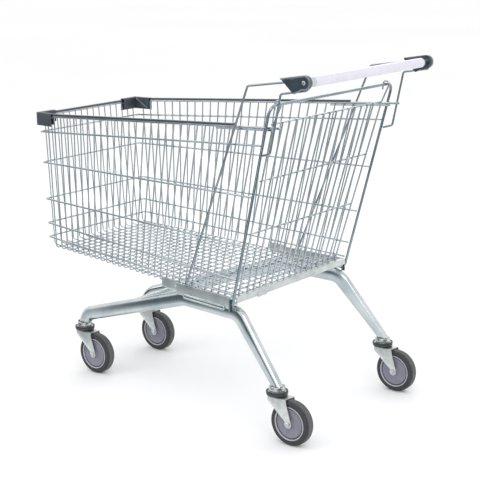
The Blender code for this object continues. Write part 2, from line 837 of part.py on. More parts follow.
def bolt_place(side):
    """On the clamp's outer face, with Z pointing outwards."""
    turn = Matrix.Rotation(math.pi / 2 * side, 4, "Y")
    return Matrix.Translation((CLAMP_OUT * side, HANDLE_Y, HANDLE_Z)) @ turn


def clamp(name, side):
    """Moulded clamp that holds the handle's end and both bracket wires."""
    shape = [CLAMP_TIP_TOP]
    shape += arc((HANDLE_Y, HANDLE_Z), CLAMP_ROUND, 85, 290, 10)
    shape += [CLAMP_TIP_LOW]
    middle = (CLAMP_IN + CLAMP_OUT) / 2 * side
    place = Matrix.Translation((middle, 0, 0)) @ YZ_PLANE
    obj = outline(name, shape, CLAMP_OUT - CLAMP_IN, SLATE, place)
    channel = wire_curve(name + "_channel", [bracket_path(side)], BRACKET_R + GAP + 0.0001)
    boolean(obj, baked(channel), "DIFFERENCE")
    hole = rod(BOLT_SHANK_R + GAP + 0.0001, -BOLT_DEPTH - GAP, BOLT_DEPTH)
    socket = turned(name + "_bolt_hole", hole, 12)
    socket.matrix_world = bolt_place(side)
    return boolean(obj, socket, "DIFFERENCE")


def clamp_bolt(name, side):
    profile = [
        (0.0, 0.0030),
        (BOLT_R - 0.0020, 0.0028),
        (BOLT_R, 0.0012),
        (BOLT_R, GAP),
        (BOLT_SHANK_R, GAP),
        (BOLT_SHANK_R, -BOLT_DEPTH),
        (0.0, -BOLT_DEPTH),
    ]
    obj = turned(name, profile, 16, STEEL)
    obj.matrix_world = bolt_place(side)
    return obj


handle = turned("handle_tube", rod(HANDLE_R, -CLAMP_IN + GAP, CLAMP_IN - GAP), 32, GRIP)
handle.matrix_world = Matrix.Translation((0, HANDLE_Y, HANDLE_Z)) @ SIDEWAYS

for side, word in ((-1, "left"), (1, "right")):
    wire("handle_bracket_" + word, bracket_path(side), BRACKET_R, ZINC)
    clamp("handle_clamp_" + word, side)
    clamp_bolt("clamp_bolt_" + word, side)
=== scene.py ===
import math

import bmesh
import bpy
from mathutils import Matrix, Vector


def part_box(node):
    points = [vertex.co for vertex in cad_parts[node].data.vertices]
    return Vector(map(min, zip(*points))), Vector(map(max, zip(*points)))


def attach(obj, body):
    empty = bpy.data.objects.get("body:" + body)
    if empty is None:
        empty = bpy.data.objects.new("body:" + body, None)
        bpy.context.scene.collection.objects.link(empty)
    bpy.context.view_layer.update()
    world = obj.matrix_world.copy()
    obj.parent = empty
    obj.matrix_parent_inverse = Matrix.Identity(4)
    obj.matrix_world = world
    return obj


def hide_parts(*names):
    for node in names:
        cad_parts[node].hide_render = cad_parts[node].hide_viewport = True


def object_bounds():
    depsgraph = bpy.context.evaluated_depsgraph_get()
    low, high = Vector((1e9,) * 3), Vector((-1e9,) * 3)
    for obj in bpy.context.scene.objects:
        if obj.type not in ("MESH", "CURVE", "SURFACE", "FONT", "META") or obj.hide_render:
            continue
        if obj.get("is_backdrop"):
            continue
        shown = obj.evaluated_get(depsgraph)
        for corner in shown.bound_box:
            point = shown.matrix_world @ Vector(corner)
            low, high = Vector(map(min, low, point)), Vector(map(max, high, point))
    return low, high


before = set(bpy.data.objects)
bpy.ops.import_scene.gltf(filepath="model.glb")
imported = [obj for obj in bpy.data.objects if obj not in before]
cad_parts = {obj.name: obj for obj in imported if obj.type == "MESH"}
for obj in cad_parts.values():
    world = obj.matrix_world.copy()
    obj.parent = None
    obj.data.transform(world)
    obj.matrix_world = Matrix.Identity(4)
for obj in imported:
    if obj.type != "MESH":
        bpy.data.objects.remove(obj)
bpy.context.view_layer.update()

# Wire shopping cart: every piece's final shape and finish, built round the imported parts.
# Metres. +Y is the way the cart is pushed, +X is to the pusher's right, +Z is up.

print("stage 1: helpers")

up = Vector((0, 0, 1))
sides = {"left": -1, "right": 1}
corners = ("front_left", "front_right", "rear_left", "rear_right")


def hexColour(text):
    # sRGB hex to the linear colour that shaders use
    channels = [int(text[i:i + 2], 16) / 255 for i in (1, 3, 5)]
    return tuple(c / 12.92 if c <= 0.04045 else ((c + 0.055) / 1.055) ** 2.4 for c in channels) + (1.0,)


def perMetre(millimetres):
    # pattern scale for features this size
    return 1000 / millimetres


def addNode(tree, kind, settings=None, links=None):
    node = tree.nodes.new(kind)
    for key, value in (settings or {}).items():
        if key in node.inputs:
            node.inputs[key].default_value = value
        else:
            setattr(node, key, value)
    for key, source in (links or {}).items():
        tree.links.new(source, node.inputs[key])
    return node


def newFinish(name):
    made = bpy.data.materials.new(name)
    made.use_nodes = True
    tree = made.node_tree
    shader = tree.nodes["Principled BSDF"]
    place = addNode(tree, "ShaderNodeTexCoord").outputs["Object"]
    return made, tree, shader, place


def stretched(tree, place, factors):
    # the pattern is drawn out along the axes that have a small factor
    return addNode(tree, "ShaderNodeMapping", {"Scale": factors}, {"Vector": place}).outputs["Vector"]


def colourRamp(tree, source, stops):
    ramp = addNode(tree, "ShaderNodeValToRGB", links={"Fac": source})
    elements = ramp.color_ramp.elements
    while len(elements) < len(stops):
        elements.new(0.5)
    for element, (place, colour) in zip(elements, stops):
        element.position = place
        element.color = hexColour(colour)
    return ramp.outputs["Color"]


def spread(tree, source, low, high):
    # a 0 to 1 pattern as values from low to high
    return addNode(
        tree, "ShaderNodeMapRange", {"To Min": low, "To Max": high}, {"Value": source}
    ).outputs["Result"]


def relief(tree, shader, height, strength, depth):
    bump = addNode(
        tree, "ShaderNodeBump", {"Strength": strength, "Distance": depth}, {"Height": height}
    )
    tree.links.new(bump.outputs["Normal"], shader.inputs["Normal"])


print("stage 2: finishes")


def platedSteel(name, look):
    # zinc plating: cloudy patches of brighter and bluer crystals, and faint lines left by drawing or rolling
    made, tree, shader, place = newFinish(name)
    shader.inputs["Metallic"].default_value = 1.0
    cloud = addNode(
        tree, "ShaderNodeTexNoise",
        {"Scale": perMetre(look["cloudMm"]), "Detail": 3.0, "Roughness": 0.55}, {"Vector": place},
    ).outputs["Fac"]
    tint = colourRamp(tree, cloud, look["tints"])
    grain = addNode(
        tree, "ShaderNodeTexNoise",
        {"Scale": perMetre(look["grainMm"]), "Detail": 2.0},
        {"Vector": stretched(tree, place, look["draw"])},
    ).outputs["Fac"]
    grainTint = colourRamp(tree, grain, ((0.30, "#c9cccd"), (0.70, "#ffffff")))
    mixed = addNode(
        tree, "ShaderNodeMix",
        {"data_type": "RGBA", "blend_type": "MULTIPLY"},
    )
    mixed.inputs[0].default_value = look["grainShow"]
    tree.links.new(tint, mixed.inputs[6])
    tree.links.new(grainTint, mixed.inputs[7])
    tree.links.new(mixed.outputs[2], shader.inputs["Base Color"])
    smudge = addNode(
        tree, "ShaderNodeTexNoise",
        {"Scale": perMetre(look["cloudMm"] * 0.4), "Detail": 4.0}, {"Vector": place},
    ).outputs["Fac"]
    tree.links.new(spread(tree, smudge, *look["rough"]), shader.inputs["Roughness"])
    relief(tree, shader, grain, look["relief"], 0.00004)
    return made


def mouldedPlastic(name, look):
    # injection moulding: an even colour with a fine spark-eroded grain and slight flow clouding
    made, tree, shader, place = newFinish(name)
    shader.inputs["IOR"].default_value = look["ior"]
    if look.get("coat"):
        shader.inputs["Coat Weight"].default_value = look["coat"]
        shader.inputs["Coat Roughness"].default_value = 0.08
    cloud = addNode(
        tree, "ShaderNodeTexNoise",
        {"Scale": perMetre(look["cloudMm"]), "Detail": 3.0}, {"Vector": place},
    ).outputs["Fac"]
    tree.links.new(colourRamp(tree, cloud, look["tints"]), shader.inputs["Base Color"])
    tree.links.new(spread(tree, cloud, *look["rough"]), shader.inputs["Roughness"])
    grain = addNode(
        tree, "ShaderNodeTexVoronoi",
        {"Scale": perMetre(look["grainMm"])}, {"Vector": place},
    ).outputs["Distance"]
    relief(tree, shader, grain, look["relief"], 0.00006)
    return made


# drawn wire, barrel-plated: bright with a blue-grey cast
zincPlatedWire = platedSteel("zincPlatedDrawnWire", {
    "cloudMm": 70, "grainMm": 0.9, "draw": (1, 1, 1), "grainShow": 0.15,
    "tints": ((0.30, "#b2bbc0"), (0.50, "#c3cace"), (0.72, "#d6dadc")),
    "rough": (0.14, 0.21), "relief": 0.06,
})
# heavier wire of the rear frame and brackets: the same plating, with tints painted darker and bluer as
# painted shade for the dark reflections these side-facing wires show
zincPlatedRodPaintedShade = platedSteel("zincPlatedHeavyWirePaintedShade", {
    "cloudMm": 90, "grainMm": 0.9, "draw": (1, 1, 1), "grainShow": 0.15,
    "tints": ((0.30, "#84929a"), (0.50, "#98a4aa"), (0.72, "#adb7bb")),
    "rough": (0.12, 0.19), "relief": 0.06,
})
# flat-oval welded tube: smoother, so it mirrors the room in long bands
zincPlatedTube = platedSteel("zincPlatedRolledTube", {
    "cloudMm": 90, "grainMm": 1.2, "draw": (1, 0.2, 1), "grainShow": 0.14,
    "tints": ((0.30, "#b9c3c6"), (0.52, "#cbd3d5"), (0.74, "#dbdfdf")),
    "rough": (0.12, 0.19), "relief": 0.08,
})
# cold-rolled sheet: satin, with rolling lines along its length
zincPlatedSheet = platedSteel("zincPlatedPressedSheet", {
    "cloudMm": 45, "grainMm": 0.8, "draw": (1, 0.12, 1), "grainShow": 0.25,
    "tints": ((0.30, "#d0d5d4"), (0.52, "#dde1df"), (0.74, "#eaecea")),
    "rough": (0.36, 0.48), "relief": 0.2,
})
# caster forks: the brightest plating, with a faint frosty crystal pattern
zincPlatedFork = platedSteel("zincPlatedForkSteel", {
    "cloudMm": 12, "grainMm": 0.7, "draw": (1, 1, 1), "grainShow": 0.3,
    "tints": ((0.30, "#d9dcda"), (0.52, "#e7e9e7"), (0.74, "#f4f4f2")),
    "rough": (0.32, 0.46), "relief": 0.25,
})
zincPlatedBolt = platedSteel("zincPlatedBoltSteel", {
    "cloudMm": 6, "grainMm": 0.6, "draw": (1, 1, 1), "grainShow": 0.35,
    "tints": ((0.30, "#b9bdbc"), (0.52, "#d0d3d2"), (0.74, "#e6e7e5")),
    "rough": (0.18, 0.30), "relief": 0.3,
})
# polypropylene, moulded: dark slate, satin
mouldedPolypropylene = mouldedPlastic("mouldedSlatePolypropylene", {
    "ior": 1.49, "cloudMm": 25, "grainMm": 0.7, "relief": 0.35,
    "tints": ((0.3, "#33393f"), (0.7, "#434a52")), "rough": (0.34, 0.46),
})
# PVC sleeve shrunk over the tube: glossy, almost white with a lilac cast
shrunkPvcSleeve = mouldedPlastic("shrunkPvcSleeve", {
    "ior": 1.53, "cloudMm": 40, "grainMm": 1.5, "relief": 0.05, "coat": 0.5,
    "tints": ((0.3, "#d3d0dd"), (0.7, "#dbd9e4")), "rough": (0.18, 0.28),
})
# the same polypropylene out of a polished mould: dark and glossy
polishedPolypropylene = mouldedPlastic("polishedSlatePolypropylene", {
    "ior": 1.52, "cloudMm": 35, "grainMm": 0.9, "relief": 0.06, "coat": 0.8,
    "tints": ((0.3, "#2c343a"), (0.7, "#38424a")), "rough": (0.14, 0.22),
})
# raised lips of the same plastic, painted paler: a painted highlight for the light their edges catch
paintedHighlightPolypropylene = mouldedPlastic("paintedHighlightSlatePolypropylene", {
    "ior": 1.52, "cloudMm": 35, "grainMm": 0.9, "relief": 0.06, "coat": 1.0,
    "tints": ((0.3, "#55636a"), (0.7, "#6f7e85")), "rough": (0.14, 0.22),
})
# nylon dust rings: near black, slightly shiny edges
mouldedNylon = mouldedPlastic("mouldedBlackNylon", {
    "ior": 1.53, "cloudMm": 15, "grainMm": 0.6, "relief": 0.25,
    "tints": ((0.3, "#26292b"), (0.7, "#34383a")), "rough": (0.30, 0.42),
})
# thermoplastic rubber: dark and matt on the sides
mouldedRubber = mouldedPlastic("mouldedThermoplasticRubber", {
    "ior": 1.52, "cloudMm": 9, "grainMm": 0.8, "relief": 0.4,
    "tints": ((0.3, "#2c2c2e"), (0.7, "#363639")), "rough": (0.50, 0.64),
})
# the same rubber where the floor has scuffed the tread: lighter and matter
scuffedRubber = mouldedPlastic("scuffedThermoplasticRubber", {
    "ior": 1.52, "cloudMm": 7, "grainMm": 0.8, "relief": 0.5,
    "tints": ((0.3, "#4c4c4f"), (0.7, "#626265")), "rough": (0.62, 0.76),
})
# wheel discs: lilac-grey polypropylene, satin
mouldedWheelDisc = mouldedPlastic("mouldedGreyPolypropylene", {
    "ior": 1.49, "cloudMm": 18, "grainMm": 0.7, "relief": 0.25,
    "tints": ((0.3, "#767683"), (0.7, "#858592")), "rough": (0.36, 0.48),
})
# rim ring of the wheel: the same plastic, lighter
mouldedWheelRing = mouldedPlastic("mouldedPaleGreyPolypropylene", {
    "ior": 1.49, "cloudMm": 14, "grainMm": 0.7, "relief": 0.2,
    "tints": ((0.3, "#acacb6"), (0.7, "#bdbdc6")), "rough": (0.34, 0.46),
})


print("stage 3: shape helpers")


def rounded(points, radius, steps=8):
    # a polyline with each inner corner turned into an arc
    points = [Vector(p) for p in points]
    out = [points[0]]
    for before, corner, after in zip(points, points[1:], points[2:]):
        a, b = (before - corner).normalized(), (after - corner).normalized()
        angle = a.angle(b)
        if angle > math.pi - 0.001:
            out.append(corner)
            continue
        reach = min((before - corner).length, (after - corner).length) * 0.49
        size = min(radius, reach * math.tan(angle / 2))
        centre = corner + (a + b).normalized() * (size / math.sin(angle / 2))
        start = (corner + a * size / math.tan(angle / 2) - centre).normalized()
        end = (corner + b * size / math.tan(angle / 2) - centre).normalized()
        out += [centre + start.slerp(end, i / steps) * size for i in range(steps + 1)]
    out.append(points[-1])
    return out


def roundedLoop(points, radius, steps=4):
    # a closed outline in 2D with every corner rounded
    flat = [Vector((x, y, 0)) for x, y in points]
    middle = (flat[-1] + flat[0]) / 2
    path = rounded([middle, *flat, middle], radius, steps)
    return [(p.x, p.y) for p in path[:-1]]


def circle(radius, steps):
    return [
        (radius * math.cos(2 * math.pi * i / steps), radius * math.sin(2 * math.pi * i / steps))
        for i in range(steps)
    ]


def arcPoints(centre, radius, start, end, steps):
    turns = [math.radians(start + (end - start) * i / steps) for i in range(steps + 1)]
    return [(centre[0] + radius * math.cos(t), centre[1] + radius * math.sin(t)) for t in turns]


def sharpAt(mesh, degrees):
    mesh.shade_smooth()
    mesh.set_sharp_from_angle(angle=math.radians(degrees))


def finished(name, verts, faces, finish, body, sharp=40):
    mesh = bpy.data.meshes.new(name)
    mesh.from_pydata([tuple(v) for v in verts], [], faces)
    shape = bmesh.new()
    shape.from_mesh(mesh)
    bmesh.ops.recalc_face_normals(shape, faces=shape.faces)
    shape.to_mesh(mesh)
    shape.free()
    mesh.materials.append(finish)
    sharpAt(mesh, sharp)
    obj = bpy.data.objects.new(name, mesh)
    bpy.context.scene.collection.objects.link(obj)
    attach(obj, body)
    return obj


def sweep(name, runs, section, finish, body, upright=False, sharp=40, softEnd=0.0):
    # the section (side, up) drawn along each run; upright keeps it level with the floor
    verts, faces = [], []
    count = len(section)
    for run in runs:
        run = [Vector(p) for p in run]
        headings = [
            (run[min(i + 1, len(run) - 1)] - run[max(i - 1, 0)]).normalized() for i in range(len(run))
        ]
        side = headings[0].orthogonal().normalized()
        rings = []
        for point, heading in zip(run, headings):
            if upright:
                side = heading.cross(up).normalized()
            else:
                side = (side - heading * side.dot(heading)).normalized()
            rings.append((point, side, side.cross(heading), 1.0))
        if softEnd:
            size = max(abs(a) for a, b in section)
            for index, heading in ((0, headings[0]), (-1, -headings[-1])):
                point, side, lift, scale = rings[index]
                rings[index] = (point + heading * size * softEnd, side, lift, 1.0)
                cap = (point, side, lift, 1 - softEnd)
                rings.insert(0 if index == 0 else len(rings), cap)
            side = rings[0][1]
        first = len(verts)
        for point, side, lift, scale in rings:
            verts += [point + side * (a * scale) + lift * (b * scale) for a, b in section]
        for r in range(len(rings) - 1):
            for i in range(count):
                a, b = first + r * count + i, first + r * count + (i + 1) % count
                faces.append((a, b, b + count, a + count))
        last = first + (len(rings) - 1) * count
        faces.append(tuple(first + i for i in range(count)))
        faces.append(tuple(last + i for i in reversed(range(count))))
    return finished(name, verts, faces, finish, body, sharp)


def wires(name, runs, radius, body, steps=10, finish=zincPlatedWire):
    return sweep(name, runs, circle(radius, steps), finish, body, softEnd=0.35)


def turned(name, profile, place, axis, finish, body, steps=48, soften=0.0, sharp=35):
    # a (radius, height) profile turned about an axis through place; a profile that ends on the axis is capped
    path = [Vector((r, h, 0)) for r, h in profile]
    if soften:
        path = rounded(path, soften, 3)
    turn = axis.to_track_quat("Z", "Y").to_matrix()
    verts, faces, loops = [], [], []
    for p in path:
        if p.x < 0.00001:
            loops.append([len(verts)])
            verts.append(place + turn @ Vector((0, 0, p.y)))
            continue
        loops.append(list(range(len(verts), len(verts) + steps)))
        for i in range(steps):
            angle = 2 * math.pi * i / steps
            spot = Vector((p.x * math.cos(angle), p.x * math.sin(angle), p.y))
            verts.append(place + turn @ spot)
    closed = len(loops[0]) > 1
    pairs = list(zip(loops, loops[1:] + ([loops[0]] if closed else [])))
    for one, other in pairs[:len(loops) if closed else len(loops) - 1]:
        for i in range(steps):
            j = (i + 1) % steps
            if len(one) == 1 and len(other) == 1:
                break
            if len(one) == 1:
                faces.append((one[0], other[i], other[j]))
            elif len(other) == 1:
                faces.append((one[i], other[0], one[j]))
            else:
                faces.append((one[i], other[i], other[j], one[j]))
    return finished(name, verts, faces, finish, body, sharp)


def plate(name, outlines, thickness, matrix, edge, finish, body):
    # flat sheet with holes: the first outline is its edge and the others are cut out; edge is the rounding
    guide = bpy.data.curves.new(name + "Guide", "CURVE")
    guide.dimensions = "2D"
    guide.fill_mode = "BOTH"
    guide.extrude = thickness / 2 - edge
    guide.bevel_depth = edge
    guide.bevel_resolution = 1
    guide.offset = -edge
    for outline in outlines:
        spline = guide.splines.new("POLY")
        spline.points.add(len(outline) - 1)
        for point, (x, y) in zip(spline.points, outline):
            point.co = (x, y, 0, 1)
        spline.use_cyclic_u = True
    holder = bpy.data.objects.new(name + "Guide", guide)
    bpy.context.scene.collection.objects.link(holder)
    bpy.context.view_layer.update()
    mesh = bpy.data.meshes.new_from_object(holder.evaluated_get(bpy.context.evaluated_depsgraph_get()))
    bpy.data.objects.remove(holder)
    mesh.transform(matrix)
    shape = bmesh.new()
    shape.from_mesh(mesh)
    bmesh.ops.remove_doubles(shape, verts=shape.verts, dist=0.00001)
    bmesh.ops.recalc_face_normals(shape, faces=shape.faces)
    shape.to_mesh(mesh)
    shape.free()
    mesh.name = name
    mesh.materials.clear()
    mesh.materials.append(finish)
    sharpAt(mesh, 30)
    obj = bpy.data.objects.new(name, mesh)
    bpy.context.scene.collection.objects.link(obj)
    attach(obj, body)
    return obj


def axes(xAxis, yAxis, place):
    xAxis, yAxis = Vector(xAxis).normalized(), Vector(yAxis).normalized()
    zAxis = xAxis.cross(yAxis).normalized()
    made = Matrix((xAxis, zAxis.cross(xAxis), zAxis)).transposed().to_4x4()
    made.translation = Vector(place)
    return made


def onSide(point, side):
    return Vector((point[0] * side, point[1], point[2]))


def centreOf(node):
    low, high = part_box(node)
    return (low + high) / 2


print("stage 4: casters")

caster = {
    "wheelRadius": 0.0625,
    "tread": 0.0320,
    "tyreInner": 0.0474,
    "ringInner": 0.0436,
    "discRadius": 0.0408,
    "bossRadius": 0.0125,
    "grooveDepth": 0.0034,
    "boltRadius": 0.0050,
    "boltHalf": 0.0222,
    "forkInside": 0.0190,
    "forkSteel": 0.0025,
    "forkAhead": 0.0170,
    "forkBehind": 0.0420,
    "forkEnd": 0.0108,
    "cupRadius": 0.0305,
    "cupHeight": 0.0140,
    "headRadius": 0.0258,
    "collarRadius": 0.0215,
    "flareRadius": 0.0236,
}


def hexHead(name, place, axis, acrossFlats, height, finish, body):
    # hexagonal nut or head with its corners chamfered
    r = acrossFlats / math.sqrt(3)
    profile = [(0, height), (r * 0.82, height), (r, height * 0.78), (r, 0), (0, 0)]
    return turned(name, profile, place, axis, finish, body, steps=6, sharp=15)


def washer(name, place, axis, inner, outer, height, body):
    profile = [(outer, 0), (outer, height), (inner, height), (inner, 0)]
    return turned(name, profile, place, axis, zincPlatedBolt, body, 32, 0.0003)


def buildCaster(corner):
    c = caster
    wheel, forkBody = "wheel_" + corner, "fork_body_" + corner
    hub = centreOf("tyre_" + corner)
    swivel = centreOf("dust_ring_" + corner)
    sideways = Vector((1, 0, 0))
    half = c["tread"] / 2
    # tyre: dark sides, and a crowned tread band set between them
    r = c["wheelRadius"]
    carcass = [
        (c["tyreInner"], half - 0.0016), (r - 0.0068, half - 0.0002), (r - 0.0030, half - 0.0020),
        (r - 0.0010, half - 0.0058), (r - 0.0020, half - 0.0068),
    ]
    carcass += [(x, -y) for x, y in reversed(carcass)]
    turned("tyre_side_" + corner, carcass, hub, sideways, mouldedRubber, wheel, 64, 0.0008)
    band = [(r - 0.0040, half - 0.0066), (r - 0.0002, half - 0.0072), (r, half - 0.0090), (r, 0)]
    band += [(x, -y) for x, y in reversed(band[:-1])]
    tyre = turned(
        "tyre_tread_" + corner, band, hub, sideways, scuffedRubber, wheel, 64, 0.0006,
    )
    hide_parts("tyre_" + corner)
    # pale outer ring, then a dark groove, then the dished disc and its boss
    ring = []
    for sign in (1, -1):
        edge = [
            (c["ringInner"], half - 0.0052), (c["ringInner"] + 0.0008, half - 0.0008),
            (c["ringInner"] + 0.0022, half + 0.0004), (c["tyreInner"] - 0.0002, half - 0.0006),
        ]
        ring += [(x, y * sign) for x, y in (edge if sign == 1 else reversed(edge))]
    turned("wheel_ring_" + corner, ring, hub, sideways, mouldedWheelRing, wheel, 64, 0.0006)
    disc = []
    for sign in (1, -1):
        face = [
            (0.0052, half + 0.0008), (c["bossRadius"] - 0.0008, half + 0.0008),
            (c["bossRadius"], half - 0.0004), (c["bossRadius"] + 0.0012, half - 0.0040),
            (c["discRadius"] - 0.0075, half - 0.0040), (c["discRadius"] - 0.0045, half - 0.0024),
            (c["discRadius"] - 0.0012, half - 0.0022), (c["discRadius"], half - 0.0034),
            (c["discRadius"], half - 0.0070), (c["ringInner"] + 0.0002, half - 0.0072),
        ]
        disc += [(x, y * sign) for x, y in (face if sign == 1 else reversed(face))]
    core = turned(
        "wheel_disc_" + corner, disc, hub, sideways, mouldedWheelDisc, wheel, 64, 0.0006,
    )
    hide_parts("wheel_core_" + corner)
    # dark floor of the groove: painted shade in the recess between ring and disc, made with the near-black
    # nylon finish
    grooveHalf = half - c["grooveDepth"]
    groove = [(x, y * grooveHalf) for x, y in (
        (c["discRadius"] - 0.0003, 1), (c["ringInner"] + 0.0003, 1),
        (c["ringInner"] + 0.0003, -1), (c["discRadius"] - 0.0003, -1),
    )]
    turned("wheel_groove_painted_shade_" + corner, groove, hub, sideways, mouldedNylon, wheel, 64)
    # fork: two pressed cheeks hanging from a top plate, folded with a small radius
    top = swivel.z - c["cupHeight"] / 2 - 0.0003
    frontY, rearY = swivel.y + c["forkAhead"], swivel.y - c["forkBehind"]
    cheek = [(frontY, top - 0.0012), (frontY, top - 0.0120), (frontY - 0.0085, top - 0.0190)]
    cheek += arcPoints((hub.y, hub.z), c["forkEnd"], 34, -193, 18)
    cheek += [(rearY, top - 0.0012)]
    hole = [(hub.y + a, hub.z + b) for a, b in circle(0.0051, 20)]
    lengthwise = axes((0, 1, 0), (0, 0, 1), (0, 0, 0))
    middle = c["forkInside"] + c["forkSteel"] / 2
    for word, sign in sides.items():
        place = Matrix.Translation((swivel.x + sign * middle, 0, 0)) @ lengthwise
        plate(
            "fork_cheek_" + word + "_" + corner, [cheek, hole], c["forkSteel"], place, 0.0004,
            zincPlatedFork, forkBody,
        )
        face = Vector((swivel.x + sign * (c["forkInside"] + c["forkSteel"]), hub.y, hub.z))
        outwards = Vector((sign, 0, 0))
        washer(
            "axle_washer_" + word + "_" + corner, face, outwards, 0.0052, 0.0088, 0.0010,
            forkBody,
        )
        hexHead(
            "axle_nut_" + word + "_" + corner, face + outwards * 0.0010, outwards, 0.0130, 0.0034,
            zincPlatedBolt, forkBody,
        )
    end, chamfer = c["boltHalf"], 0.0017
    shank = [(0, end), (c["boltRadius"] - 0.0008, end), (c["boltRadius"], end - chamfer)]
    shank += [(x, -y) for x, y in reversed(shank)]
    bolt = turned("axle_" + corner, shank, hub, sideways, zincPlatedBolt, forkBody, 20)
    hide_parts("axle_bolt_" + corner)
    # the top plate is a shallow channel, so its long edges roll over onto the cheeks
    half = c["forkInside"] + c["forkSteel"]
    roll = 0.0040
    section = arcPoints((half - roll, -roll), roll, 0, 90, 6)
    section += arcPoints((-half + roll, -roll), roll, 90, 180, 6)
    section += [(-half + c["forkSteel"], -roll), (-half + roll, -c["forkSteel"])]
    section += [(half - roll, -c["forkSteel"]), (half - c["forkSteel"], -roll)]
    crown = sweep(
        "fork_crown_" + corner,
        [[(swivel.x, rearY, top), (swivel.x, frontY, top)]],
        section, zincPlatedFork, forkBody, upright=True, sharp=50,
    )
    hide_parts("fork_" + corner)
    # dark cup round the ball race
    low = -c["cupHeight"] / 2
    high = -low
    cup = [
        (0.0090, low), (c["cupRadius"] - 0.0050, low), (c["cupRadius"] - 0.0010, low + 0.0030),
        (c["cupRadius"], high - 0.0040), (c["cupRadius"] - 0.0006, high - 0.0006),
        (c["cupRadius"] - 0.0030, high), (c["cupRadius"] - 0.0052, high - 0.0012),
        (c["cupRadius"] - 0.0060, high - 0.0080), (0.0090, high - 0.0085),
    ]
    dust = turned("dust_cup_" + corner, cup, swivel, up, mouldedNylon, forkBody, 56, 0.0008)
    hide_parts("dust_ring_" + corner)
    # bright head plate inside the cup, with the flared collar and the tube's end ring above it
    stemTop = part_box("swivel_stem_" + corner)[1].z - swivel.z
    head = [
        (0, stemTop), (c["collarRadius"], stemTop), (c["collarRadius"] + 0.0005, stemTop - 0.0008),
        (c["flareRadius"], high + 0.0022), (c["flareRadius"] - 0.0024, high + 0.0014),
        (c["flareRadius"] - 0.0024, high - 0.0012), (c["headRadius"], high - 0.0020),
        (c["headRadius"], high - 0.0034), (c["headRadius"] - 0.0030, high - 0.0050), (0, high - 0.0060),
    ]
    stem = turned(
        "swivel_head_" + corner, head, swivel, up, zincPlatedBolt, "frame", 48, 0.0008,
    )
    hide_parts("swivel_stem_" + corner)


for corner in corners:
    buildCaster(corner)


print("stage 5: chassis")

chassis = {
    "ovalHeight": 0.0440,
    "ovalWidth": 0.0250,
    "bend": 0.0550,
    "frontFoot": (0.1430, 0.4420, 0.0900),
    "elbow": (0.1438, 0.4330, 0.1818),
    "crown": (0.2350, -0.0535, 0.3360),
    "knee": (0.2440, -0.2574, 0.3280),
    "rearFoot": (0.2650, -0.4010, 0.1400),
    "sawHeight": 0.1568,
    "crossHeight": 0.0300,
    "crossWidth": 0.0216,
}


def ovalSection(height, width, steps):
    straight = (height - width) / 2
    return (
        arcPoints((0, straight), width / 2, 0, 180, steps)
        + arcPoints((0, -straight), width / 2, 180, 360, steps)
    )


def tubePath(side):
    keys = ("frontFoot", "elbow", "crown", "knee", "rearFoot")
    return rounded([onSide(chassis[k], side) for k in keys], chassis["bend"], 14)


for word, side in sides.items():
    tube = sweep(
        "oval_tube_" + word, [tubePath(side)],
        ovalSection(chassis["ovalHeight"], chassis["ovalWidth"], 14),
        zincPlatedTube, "frame", upright=True, sharp=60,
    )
    for vert in tube.data.vertices:  # sawn level on top of both caster heads
        if vert.co.z < chassis["sawHeight"]:
            vert.co.z = chassis["sawHeight"]
    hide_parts("chassis_tube_" + word)

crossLow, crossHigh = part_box("front_cross_tube")
crossAt = (crossLow + crossHigh) / 2
reach = crossHigh.x - 0.0010
cross = sweep(
    "cross_tube", [[(-reach, crossAt.y, crossAt.z), (reach, crossAt.y, crossAt.z)]],
    ovalSection(chassis["crossHeight"], chassis["crossWidth"], 12),
    zincPlatedTube, "frame", upright=True, sharp=60,
)
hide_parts("front_cross_tube")


print("stage 6: basket")

basket = {
    "rimFrontHalf": 0.2135,
    "hoopY": -0.3890,
    "floorFront": (0.2190, 0.5015, 0.4050),
    "floorRear": (0.2660, -0.2540, 0.3625),
    "rimWire": 0.0035,
    "uprightWire": 0.0021,
    "floorWire": 0.0017,
    "girthWire": 0.0028,
    "wireStep": 0.0045,
    "cornerRadius": 0.0220,
    "girthBend": 0.0085,
    "floorBend": 0.0085,
    "sideUprights": 29,
    "firstUpright": 0.0383,
    "uprightPitch": 0.03263,
    "frontPitch": 0.0260,
    "frontPairs": 8,
    "girths": ((0.118, 0.098), (0.350, 0.386), (0.631, 0.665), (0.817, 0.866), (0.925, 0.956)),
}
rimLow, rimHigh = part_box("basket_rim")
rimFront = Vector((basket["rimFrontHalf"], rimHigh.y - basket["rimWire"], rimLow.z + basket["rimWire"]))
rimEnd = Vector((rimHigh.x - basket["rimWire"], rimLow.y, rimHigh.z - basket["rimWire"]))
rimRear = rimFront.lerp(rimEnd, (rimFront.y - basket["hoopY"]) / (rimFront.y - rimEnd.y))
floorFront, floorRear = Vector(basket["floorFront"]), Vector(basket["floorRear"])


def sideWall(u, v, side, inside=0.0):
    # u runs from front to rear, v from the rim to the floor
    point = rimFront.lerp(rimRear, u).lerp(floorFront.lerp(floorRear, u), v)
    return Vector(((point.x - inside) * side, point.y, point.z))


def frontWall(x, v, inside=0.0):
    share = floorFront.x / rimFront.x
    top = Vector((x, rimFront.y, rimFront.z))
    foot = Vector((x * share, floorFront.y, floorFront.z))
    point = top.lerp(foot, v)
    return Vector((point.x, point.y - inside, point.z))


crosswise = []
for k in range(basket["sideUprights"]):
    u = basket["firstUpright"] + basket["uprightPitch"] * k
    run = [sideWall(u, v, side, basket["wireStep"]) for v, side in ((0.0, -1), (1.0, -1), (1.0, 1), (0.0, 1))]
    crosswise.append(rounded(run, basket["floorBend"], 6))
across = wires("basket_u_wires", crosswise, basket["uprightWire"], "frame")
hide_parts("basket_side_left", "basket_side_right")

